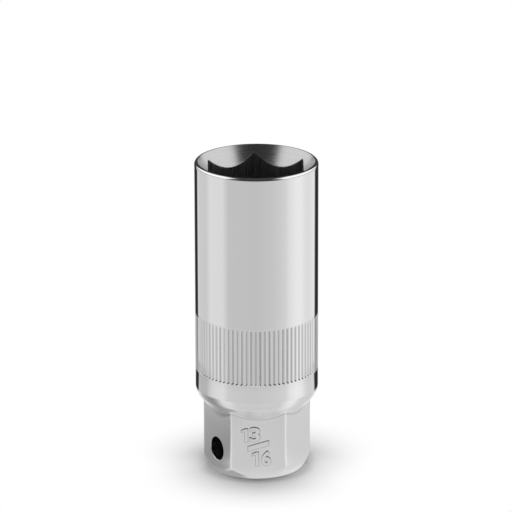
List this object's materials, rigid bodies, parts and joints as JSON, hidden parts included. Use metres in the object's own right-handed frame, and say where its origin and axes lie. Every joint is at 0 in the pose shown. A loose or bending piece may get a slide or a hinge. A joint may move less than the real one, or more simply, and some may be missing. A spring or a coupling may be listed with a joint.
{
  "type": "spark plug socket",
  "caption": "Deep round socket with a hexagon mouth, rubber grip insert, fine grip grooves and a hexagon drive end with a square hole, for turning spark plugs.",
  "frame": {"origin": "on the axis, on the flat foot of the drive end", "axes": "+Z along the axis from the drive end to the mouth; the cross hole for the drive ball faces -X"},
  "size_m": [0.027, 0.027, 0.0698],
  "materials": {
    "chrome_steel": "polished chrome plate, satin on the hexagon end",
    "black_rubber": "moulded matt rubber"
  },
  "bodies": {
    "root": {"socket_body": "chrome_steel", "rubber_insert": "black_rubber"}
  },
  "joints": []
}
